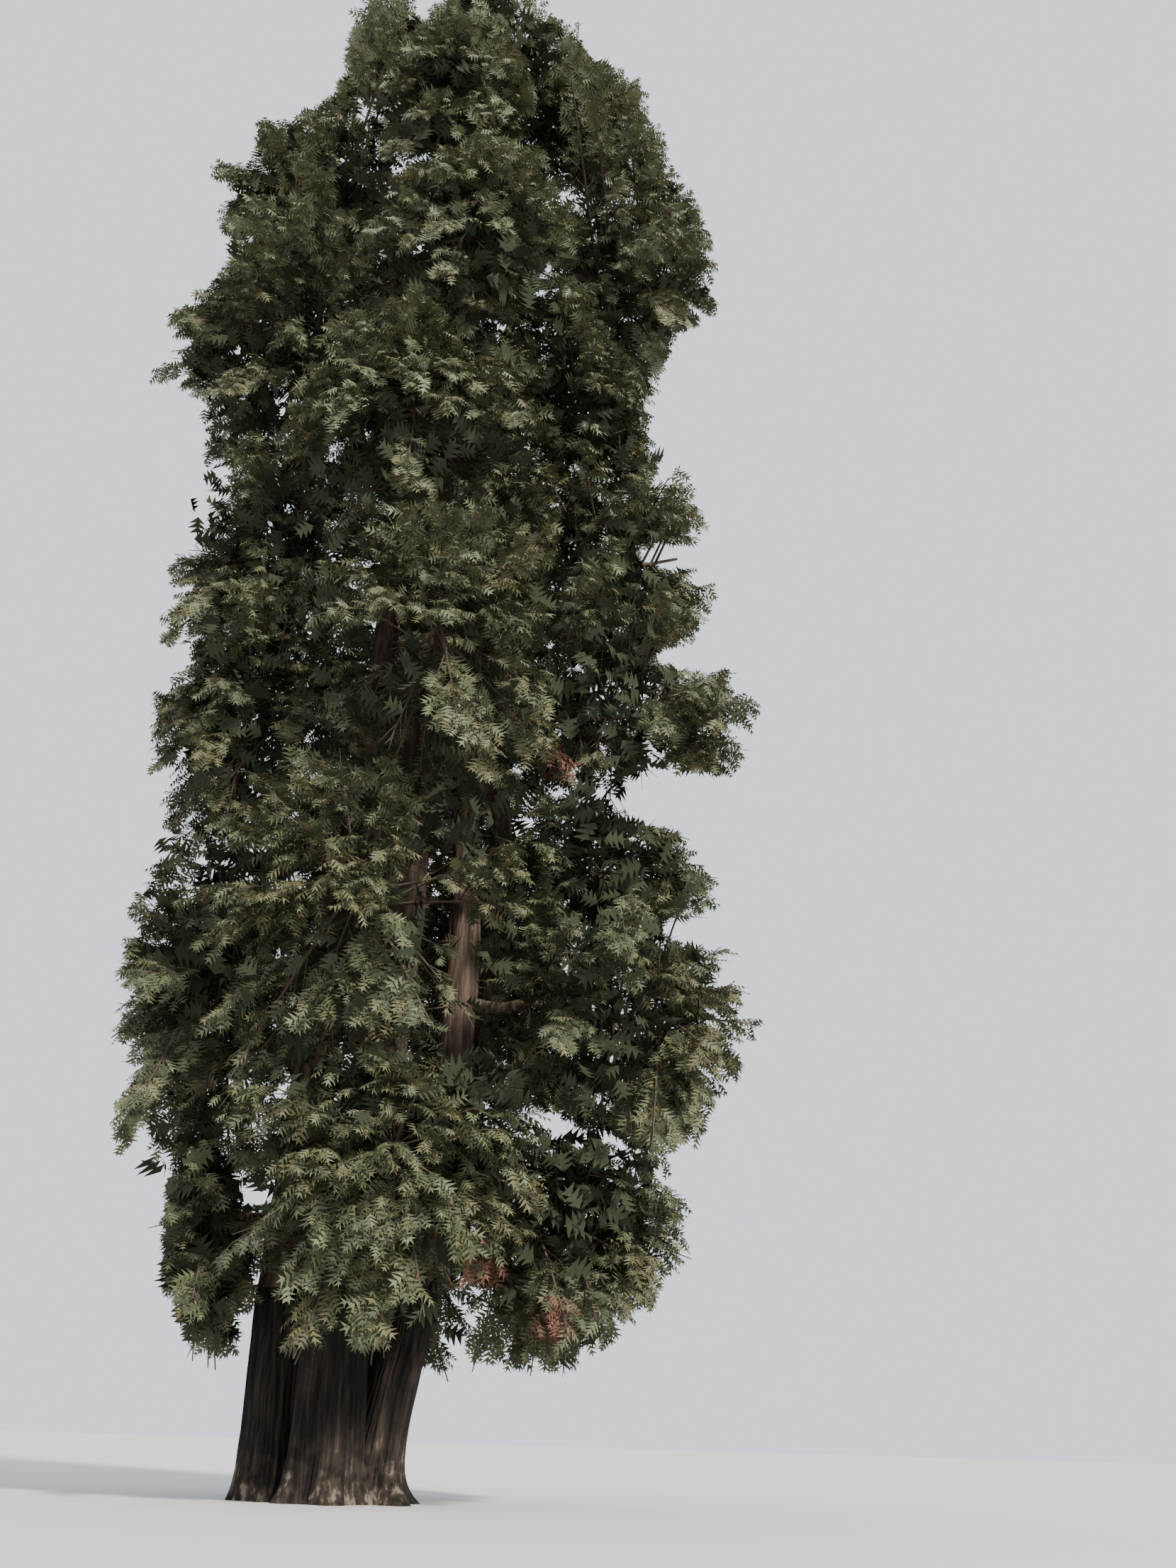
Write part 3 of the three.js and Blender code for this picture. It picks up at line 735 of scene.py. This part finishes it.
def bough_bark(material):
    """All the boughs, knobbly and tapering from the stem to the mass that each one carries."""
    shares = np.linspace(0, 1, BOUGH_ROWS)
    points = np.stack([mass["bough"].at(shares) for mass in carried])
    rng = np.random.default_rng(BOUGH_SEED)
    radii = bough_radius(shares)[None] * rng.uniform(*BOUGH_KNOBS, (len(carried), BOUGH_ROWS))
    starts = sideways_of(points[:, -1] - points[:, 0])
    return bark_piece("bark_boughs", [tubes(starts, points, radii, BOUGH_SIDES)], material)


# What the photograph shows, as places where the camera's line of sight meets the upright plane through
# the origin, each with a size. The crown is open at its front where the photograph looks in on a stem
# or through to the sky, and at every depth where the sky shows between the bough tips at the edges.
# Dead sprays show rusty in a few patches on the front.
OPENINGS = [
    (-0.44, 14.9, 0.22, 0.75), (0.5, 14.9, 0.14, 0.5), (0.27, 12.7, 0.12, 0.7), (0.37, 9.7, 0.14, 0.6),
    (1.36, 8.8, 0.12, 1.2), (0.85, 9.2, 0.16, 1.8),
]
OPEN_BEFORE = 0.3
SKY_NOTCHES = [
    (5.5, 11.65, 1.4, 0.6), (6.0, 9.15, 1.1, 0.3), (5.7, 14.7, 1.0, 0.3), (5.5, 17.0, 1.1, 0.3),
    (5.9, 21.1, 1.1, 1.9), (-5.6, 19.1, 1.1, 1.8), (-5.8, 24.5, 1.1, 1.1),
    (-4.4, 30.6, 1.7, 1.9), (3.7, 31.8, 0.9, 1.0),
]
DEAD_PATCHES = [(3.0, 12.3, 0.5), (3.7, 13.1, 0.35), (2.1, 3.5, 0.35), (1.7, 3.2, 0.3), (3.2, 2.7, 0.35)]
DEAD_EDGES = (0.3, 1.1)


def seen_from_camera(points):
    """Where the line of sight to each point meets the plane Y = 0, as X and Z."""
    eye = np.array(CAMERA_AT)
    share = (0 - eye[1]) / (points[:, 1] - eye[1])
    return np.stack([mix(eye[0], points[:, 0], share), mix(eye[2], points[:, 2], share)], -1)


def covered(seen, patches):
    """Whether each place on the upright plane is inside any of the oval patches."""
    inside = np.zeros(len(seen), bool)
    for x, z, across, upward in patches:
        inside |= np.hypot((seen[:, 0] - x) / across, (seen[:, 1] - z) / upward) < 1
    return inside


def is_open(points):
    seen = seen_from_camera(points)
    return covered(seen, SKY_NOTCHES) | covered(seen, OPENINGS) & (points[:, 1] < OPEN_BEFORE)


def is_dead(points, rng):
    seen = seen_from_camera(points)
    dead = np.zeros(len(points), bool)
    for x, z, size in DEAD_PATCHES:
        edge = size * rng.uniform(*DEAD_EDGES, len(points))
        dead |= np.hypot(seen[:, 0] - x, seen[:, 1] - z) < edge
    return dead & (points[:, 1] < 0)


# Foliage: limbs in each mass, twigs on the limbs and sprays on the twigs
def limbs_of(index, mass):
    """A mass's sprig, then the source's twigs and more by the same rule: roots, directions, reaches."""
    stream = seeded(index + 1)
    for _ in range(CORE_CORNERS):
        next(stream)
    bow = mass["centre"] - mass["up"] * SPRIG_BOW * mass["sizes"][0]
    end = mass["tip"] - mass["along"] * min(SPRIG_STOP_MOST, SPRIG_STOP * mass["sizes"][0])
    sprig = Curve([mass["start"], bow, end])
    limbs = SOURCE_TWIGS + round(LIMBS_PER_METRE * mass["sizes"].sum())
    draws = np.array([[next(stream) for _ in range(3)] for _ in range(limbs)])
    number = np.arange(limbs)
    finer = number >= SOURCE_TWIGS
    source_share = (number + draws[:, 0]) / SOURCE_TWIGS
    finer_share = (number - SOURCE_TWIGS + draws[:, 0]) / (limbs - SOURCE_TWIGS)
    along = mix(TWIG_FIRST, TWIG_LAST, np.where(finer, finer_share, source_share))
    turn = number * GOLDEN_TURN + TURN_UNEVEN * draws[:, 1]
    directions = unit(
        mass["side"] * np.cos(turn)[:, None] + mass["up"] * np.sin(turn)[:, None]
        + mass["along"] * mix(FIRST_SPLAY, LAST_SPLAY, along)[:, None]
    )
    stray = np.random.default_rng(STRAY_SEED + index).normal(0, LIMB_STRAY, directions.shape)
    directions = unit(directions + stray * finer[:, None])
    roots = sprig.at(along)
    reaches = way_out(index, roots, directions) * (1 - TWIG_UNEVEN * draws[:, 2])
    reaches = np.where(finer, reaches * (1 - LIMB_UNEVEN + LIMB_UNEVEN * draws[:, 2]), reaches)
    onward = sprig.at(ONWARD_FROM)[None]
    roots = np.vstack([roots, onward])
    directions = np.vstack([directions, unit(mass["tip"] - onward)])
    reaches = np.append(reaches, np.linalg.norm(mass["tip"] - onward) * ONWARD_REACH)
    reaches = np.where(is_open(roots + directions * reaches[:, None]), LIMB_CUT * reaches, reaches)
    kept = reaches > SHORTEST_LIMB
    for share in LIMB_TESTS:
        kept &= ~is_open(roots + directions * (share * reaches)[:, None])
    return sprig, roots[kept], directions[kept], reaches[kept]


def limb_wood(limbs, radii, girth, rows):
    """Tapering tubes along limbs that leave straight and bow down, or up where the sag is negative."""
    roots, directions, lengths, sag = limbs
    shares = np.linspace(0, 1, rows)
    ways = lengths[:, None] * shares
    fall = sag[:, None] * lengths[:, None] * shares**2
    points = roots[:, None] + directions[:, None] * ways[..., None] - UP * fall[..., None]
    return tubes(sideways_of(directions), points, np.linspace(*radii, rows)[None] * girth, LIMB_SIDES)


def outward_of(points):
    """The level way from the crown's axis to each point."""
    away = points - np.array([*CROWN_AXIS, 0])
    return unit(away * np.array([1, 1, 0]))


def combed(directions, points, rng):
    """Directions turned outward and down by an uneven share, as light and weight comb a crown."""
    fall = COMB_DOWN * mix(COMB_LOWEST, COMB_HIGHEST, points[:, 2:] / CROWN_HEIGHT)
    turned = outward_of(points) * COMB_OUT - UP * fall
    return unit(directions + turned * rng.uniform(*COMB_SHARES, (len(points), 1)))


def set_along(lengths, spacing):
    """How many things stand on each limb, then the limb of each thing and its number there."""
    counts = np.maximum(FEWEST, np.round(lengths / spacing)).astype(int)
    return counts, np.repeat(np.arange(len(lengths)), counts), np.concatenate([np.arange(n) for n in counts])


def stand_on(limbs, limb, share):
    """Places at shares of bowed limbs, with the way onward there, the way across and the way over."""
    roots, directions, lengths, sag = (part[limb] for part in limbs)
    root = roots + directions * (lengths * share)[:, None]
    root -= UP * (sag * lengths * share**2)[:, None]
    ahead = unit(directions - UP * (2 * sag * share)[:, None])
    flat = unit(np.cross(ahead, sideways_of(ahead)))
    return root, ahead, flat, np.cross(flat, ahead)


def leaning(ahead, flat, over, number, roll, lean):
    """Ways that lean from the way onward, to its two sides in turn and rolled round it."""
    sign = np.where(number % 2, 1.0, -1.0)
    across = flat * (sign * np.cos(roll))[:, None] + over * np.sin(roll)[:, None]
    return ahead * np.cos(lean)[:, None] + across * np.sin(lean)[:, None]


def twigs_on(limbs, rng):
    """Twigs along limbs, to the left and right in turn and longer near a limb's foot."""
    counts, limb, number = set_along(limbs[2], TWIG_SPACING)
    share = np.clip((number + rng.uniform(*TWIG_JITTER, len(limb))) / counts[limb], TWIG_NEAREST, 1)
    share = mix(TWIG_CLEAR, 1.0, share)
    root, ahead, flat, over = stand_on(limbs, limb, share)
    standing = np.where(number % STANDING_EVERY == STANDING_EVERY - 1, STANDING_ROLL, 0.0)
    roll = rng.normal(0, TWIG_ROLL, len(limb)) + standing
    lean = TWIG_LEAN * rng.uniform(*TWIG_LEANS, len(limb)) * (1 - TWIG_CLOSES * share**3)
    direction = combed(leaning(ahead, flat, over, number, roll, lean), root, rng)
    length = TWIG_LENGTH * (1 - TWIG_SHORTENS * share) * rng.uniform(*TWIG_LENGTHS, len(limb))
    return root, direction, np.minimum(length, TWIG_MOST * limbs[2][limb] + TWIG_MOST_MORE), limb


def sprays_on(twigs, rng):
    """Sprays along twigs on both sides and at the end: root, direction, flat, length and twig."""
    counts, twig, number = set_along(twigs[2], SPRAY_SPACING)
    share = mix(SPRAY_CLEAR, 1.0, (number + 1) / counts[twig])
    root, ahead, flat, over = stand_on(twigs, twig, share)
    roll = rng.normal(0, SPRAY_ROLL, len(twig))
    lean = SPRAY_LEAN * rng.uniform(*SPRAY_LEANS, len(twig)) * np.where(share > END_SPRAY, END_LEAN, 1)
    droop = rng.uniform(*SPRAY_DROOPS, len(twig))[:, None]
    direction = unit(leaning(ahead, flat, over, number, roll, lean) - UP * droop)
    facing = unit(over + rng.normal(0, SPRAY_TILT, (len(twig), 3)))
    uneven = rng.uniform(*SPRAY_LENGTHS, len(twig))
    length = SPRAY_LENGTH * (SPRAY_LONGEST - SPRAY_SHORTENS * share) * uneven
    return root, direction, facing, length, twig


# A spray: pairs of narrow needle fingers along a spine and one at its end, as shares of its length
# and of its half-width. The large sprays in the depth of a mass have broader fingers.
FINGER_STATIONS = (0.04, 0.28, 0.52)
FINGER_REACH = (0.85, 1.0, 0.8)
FINGER_BASE = 0.19
INNER_FINGER_BASE = 0.28
INNER_BREADTH = 1.25
FINGER_FORWARD = 0.34
FINGER_FALL = 0.35
TAIL_STATION = 0.68
TAIL_WIDTH = 0.17


def spray_mesh(root, direction, facing, length, base=FINGER_BASE, breadth=1.0):
    """Points and triangles of many sprays at once: seven narrow triangles each."""
    across = unit(np.cross(direction, facing))
    over = np.cross(across, direction)
    width = breadth * SPRAY_WIDTH * length / SPRAY_LENGTH

    def place(onward, aside, above):
        return (
            root + direction * (onward * length)[:, None] + across * (aside * width)[:, None]
            + over * (above * width)[:, None]
        )

    corners, faces = [], []
    for station, reach in zip(FINGER_STATIONS, FINGER_REACH):
        first = len(corners)
        corners += [place(station, 0, 0), place(station + base, 0, 0)]
        corners += [place(station + FINGER_FORWARD, sign * reach, -FINGER_FALL * reach) for sign in (1, -1)]
        faces += [(first, first + 1, first + 2), (first + 1, first, first + 3)]
    last = len(corners)
    corners += [place(TAIL_STATION, TAIL_WIDTH, 0), place(TAIL_STATION, -TAIL_WIDTH, 0)]
    corners.append(place(1.0, 0, -FINGER_FALL / 2))
    faces.append((last, last + 1, last + 2))
    return np.stack(corners, 1), np.array(faces)


# Tints of the needles, dealt out by spray: a share of the tones, from the darkest to the palest, and
# a colour as on a screen. A spray has its limb's tone or one of its own, and the tone rises with its
# height in the crown: painted light that makes the top paler and the lower crown darker.
TINTS = {
    "deep": (0.3, colour(70, 76, 54)),
    "olive": (0.13, colour(88, 92, 64)),
    "brown": (0.13, colour(99, 97, 68)),
    "grey": (0.14, colour(102, 107, 80)),
    "fresh_and_sunlit": (0.3, colour(116, 121, 95)),
}
TOP_LIT_RISE = 0.42
OWN_TINT = 0.6
RUST = colour(108, 76, 61)
# The sprays in the depth of a mass take a darker green: painted shade
INNER_SHADE = colour(54, 59, 45)
TWIG_BARK = colour(84, 74, 62)


def grow(index, mass):
    """Everything in one mass: tubes of the sprig, limbs and twigs, and the sprays with their tones."""
    rng = np.random.default_rng(GROWTH_SEED + index)
    sprig, roots, directions, reaches = limbs_of(index, mass)
    height = mass["tip"][2] / CROWN_HEIGHT
    sag = mix(LOWEST_SAG, HIGHEST_SAG, height) * LIMB_BOW * rng.uniform(*LIMB_BOWS, len(roots))
    limbs = (roots, directions, reaches, sag)
    sprig_points = sprig.at(np.linspace(0, 1, SPRIG_ROWS))[None]
    sprig_radii = np.linspace(SPRIG_RADIUS, SPRIG_TIP_RADIUS, SPRIG_ROWS)[None]
    wood = [tubes(sideways_of(mass["along"][None]), sprig_points, sprig_radii, SPRIG_SIDES)]
    wood.append(limb_wood(limbs, LIMB_RADII, np.sqrt(reaches / FULL_LIMB)[:, None], LIMB_ROWS))
    root, direction, length, limb = twigs_on(limbs, rng)
    whole = keeps_to(index, root + direction * length[:, None], 1.0)
    stub = keeps_to(index, root + direction * (TWIG_STUB * length)[:, None], 1.0)
    length = np.where(whole, length, TWIG_STUB * length)
    kept = (whole | stub) & ~is_open(root + direction * (TWIG_MIDDLE * length)[:, None])
    root, direction, length, limb = root[kept], direction[kept], length[kept], limb[kept]
    sag = mix(LOWEST_TWIG_SAG, HIGHEST_TWIG_SAG, height) * rng.uniform(*TWIG_BOWS, len(root))
    twigs = (root, direction, length, sag)
    wood.append(limb_wood(twigs, TWIG_RADII, np.ones((len(root), 1)), TWIG_ROWS))
    leafy = rng.uniform(0, 1, len(root)) > BARE_TWIGS
    root, direction, facing, length, twig = sprays_on([part[leafy] for part in twigs], rng)
    middle = root + direction * (0.5 * length)[:, None]
    kept = keeps_to(index, root + direction * length[:, None], SPRAY_EDGE) & ~is_open(middle)
    kept &= depths(middle)[:, index] > BARE_DEPTH
    tone = rng.uniform(0, 1, len(roots))[limb[leafy][twig]]
    tone = np.where(rng.uniform(0, 1, len(root)) < OWN_TINT, rng.uniform(0, 1, len(root)), tone)
    return wood, tuple(part[kept] for part in (root, direction, facing, length, tone))


def sprouts_on(name, rng):
    """Short leafy shoots straight from the bark of a stem, in the depth between the masses."""
    foot, top = foot_of(name), top_of(name)
    count = round(SPROUTS_PER_METRE * (top - SPROUT_FOOT))
    share = (rng.uniform(SPROUT_FOOT, top, count) - foot) / (top - foot)
    turn = rng.uniform(0, 2 * np.pi, count)
    out = np.stack([np.cos(turn), np.sin(turn), np.zeros(count)], -1)
    root = stem_curves[name].at(share) + out * stem_radius(STEMS[name], share)[:, None]
    direction = unit(out - UP * rng.uniform(*SPROUT_FALLS, (count, 1)))
    length = rng.uniform(*SPROUT_LENGTHS, count)
    kept = ~is_open(root + direction * (TWIG_MIDDLE * length)[:, None])
    sag = rng.uniform(*SPROUT_SAGS, kept.sum())
    shoots = (root[kept], direction[kept], length[kept], sag)
    wood = limb_wood(shoots, SPROUT_RADII, np.ones((len(sag), 1)), TWIG_ROWS)
    root, direction, facing, length, _ = sprays_on(shoots, rng)
    middle = root + direction * (0.5 * length)[:, None]
    kept = is_clear(middle) & ~is_open(middle)
    tone = rng.uniform(0, 1, len(root))
    return wood, tuple(part[kept] for part in (root, direction, facing, length, tone))


def inner_sprays(index, mass, rng):
    """Large sprays in the depth of a mass, where no light reaches, coloured dark as painted shade."""
    spots = rng.normal(0, 1, (INNER_SPRAYS, 3))
    spots = unit(spots) * rng.uniform(*INNER_SHARES, (INNER_SPRAYS, 1)) * mass["sizes"]
    root = mass["centre"] + spots @ mass["basis"]
    direction = unit(rng.normal(0, 1, (INNER_SPRAYS, 3)) * np.array(INNER_FLATTER))
    facing = unit(rng.normal(0, 1, (INNER_SPRAYS, 3)))
    length = INNER_LENGTH * rng.uniform(*INNER_LENGTHS, INNER_SPRAYS)
    tip = root + direction * length[:, None]
    kept = keeps_to(index, root, INNER_ROOT_EDGE) & keeps_to(index, tip, INNER_TIP_EDGE)
    kept &= ~is_open(root) & ~is_open((root + tip) / 2) & ~is_open(tip)
    return root[kept], direction[kept], facing[kept], length[kept]


def needle_piece(name, sprays, tint, nodes, gloss=GLOSS, **shape):
    points, faces = spray_mesh(*sprays, **shape)
    first = np.arange(len(points))[:, None, None] * points.shape[1]
    every = (faces[None] + first).reshape(-1, 3)
    material = plain_material(name, tint, NEEDLE_ROUGHNESS, gloss)
    on_tree(mesh_piece(name, points.reshape(-1, 3), every, material), nodes)


def foliage():
    """Every mass's wood and sprays, the sprays sorted into one piece for each tint."""
    nodes = [f"foliage_{mass['name']}" for mass in masses]
    wood, sprays, inner = [], [], []
    rng = np.random.default_rng(DEPTH_SEED)
    for index, mass in enumerate(masses):
        mass_wood, mass_sprays = grow(index, mass)
        wood += mass_wood
        sprays.append(mass_sprays)
        inner.append(inner_sprays(index, mass, rng))
    for name in STEMS:
        stem_wood, stem_sprays = sprouts_on(name, rng)
        wood.append(stem_wood)
        sprays.append(stem_sprays)
    material = plain_material("twig_bark", TWIG_BARK, TWIG_ROUGHNESS)
    on_tree(mesh_piece("twigs", *joined(wood), material, smooth=True), nodes)
    root, direction, facing, length, tone = (np.concatenate(part) for part in zip(*sprays))
    dead = is_dead(root, rng)
    # Painted light: height lifts the pick towards the palest tints, so the top of the crown is paler and the
    # lower crown darker
    pick = mix(tone, root[:, 2] / CROWN_HEIGHT, TOP_LIT_RISE)
    groups, lowest = {}, 0.0
    for name, (share, tint) in TINTS.items():
        groups[name] = ((pick >= lowest) & (pick < lowest + share) & ~dead, tint)
        lowest += share
    groups["rust"] = (dead, RUST)
    for name, (chosen, tint) in groups.items():
        part = (root[chosen], direction[chosen], facing[chosen], length[chosen])
        needle_piece(f"needles_{name}", part, tint, nodes)
    part = tuple(np.concatenate(part) for part in zip(*inner))
    # Painted shade: the sprays in the depth of each mass take the dark colour
    needle_piece(
        "needles_inner", part, INNER_SHADE, nodes, gloss=0.0, base=INNER_FINGER_BASE, breadth=INNER_BREADTH
    )


# The floor, the light and the camera
FLOOR_HALF = 400.0
FLOOR_COLOUR = (0.62, 0.61, 0.59, 1)
SKY_COLOUR = (0.82, 0.87, 0.95, 1)
SKY_STRENGTH = 1.42
KEY_ENERGY = 6.0
KEY_ANGLE = 6
KEY_COLOUR = (1.0, 0.96, 0.88)
KEY_WAY = (-0.5, 0.66, -0.56)


def stage():
    corners = FLOOR_HALF * np.array([[-1, -1, 0], [1, -1, 0], [1, 1, 0], [-1, 1, 0]])
    material = plain_material("floor", FLOOR_COLOUR, FLOOR_ROUGHNESS)
    floor = mesh_piece("floor", corners, np.array([[0, 1, 2, 3]]), material)
    world = bpy.data.worlds.new("studio")
    bpy.context.scene.world = world
    world.use_nodes = True
    background = world.node_tree.nodes["Background"]
    background.inputs["Color"].default_value = SKY_COLOUR
    background.inputs["Strength"].default_value = SKY_STRENGTH
    key = bpy.data.lights.new("key", "SUN")
    key.energy = KEY_ENERGY
    key.angle = math.radians(KEY_ANGLE)
    key.color = KEY_COLOUR
    lamp = bpy.data.objects.new("key", key)
    lamp.rotation_euler = Vector(KEY_WAY).to_track_quat("-Z", "Y").to_euler()
    bpy.context.scene.collection.objects.link(lamp)


def camera():
    pitch, roll = math.radians(CAMERA_PITCH), math.radians(CAMERA_ROLL)
    right = Vector((1, 0, 0))
    forward = Vector((0, math.cos(pitch), math.sin(pitch)))
    above = right.cross(forward)
    data = bpy.data.cameras.new("camera")
    data.sensor_width = SENSOR
    data.lens = SENSOR * FOCAL_PIXELS / PHOTO_HEIGHT
    data.clip_end = CAMERA_FAR
    piece = bpy.data.objects.new("camera", data)
    axes = Matrix((
        right * math.cos(roll) + above * math.sin(roll),
        above * math.cos(roll) - right * math.sin(roll),
        -forward,
    )).transposed()
    piece.matrix_world = Matrix.Translation(CAMERA_AT) @ axes.to_4x4()
    bpy.context.scene.collection.objects.link(piece)
    bpy.context.scene.camera = piece


# Barks: painted shade makes the clump at the foot dark, as under the crown, and painted sunlight
# makes the stems above paler; the boughs are paler too. Each has its tones from painted shade in the
# furrows to painted light on the ridges, and the grain of its fibres along X, Y and Z
# Painted shade: the clump's bark is darkened for the shade of the crown
trunk_bark = bark_material(
    "trunk_bark", colour(12, 10, 8), colour(25, 21, 17), colour(54, 46, 38), grain=(9, 9, 0.9)
)
# Painted light: the stems' bark is made paler, as sunlit bark
sunlit_stem_bark = bark_material(
    "sunlit_stem_bark", colour(36, 29, 25), colour(74, 61, 52), colour(118, 101, 87), grain=(9, 9, 0.9)
)
limb_bark = bark_material(
    "limb_bark", colour(42, 35, 29), colour(80, 69, 58), colour(120, 108, 93), grain=(14, 14, 5)
)
on_tree(clump_bark(trunk_bark), ["trunk_clump"])
for number, stem_name in enumerate(STEMS):
    on_tree(stem_bark(stem_name, number, sunlit_stem_bark), [stem_name])
on_tree(bough_bark(limb_bark), [f"bough_{mass['name']}" for mass in carried])
foliage()
stage()
camera()
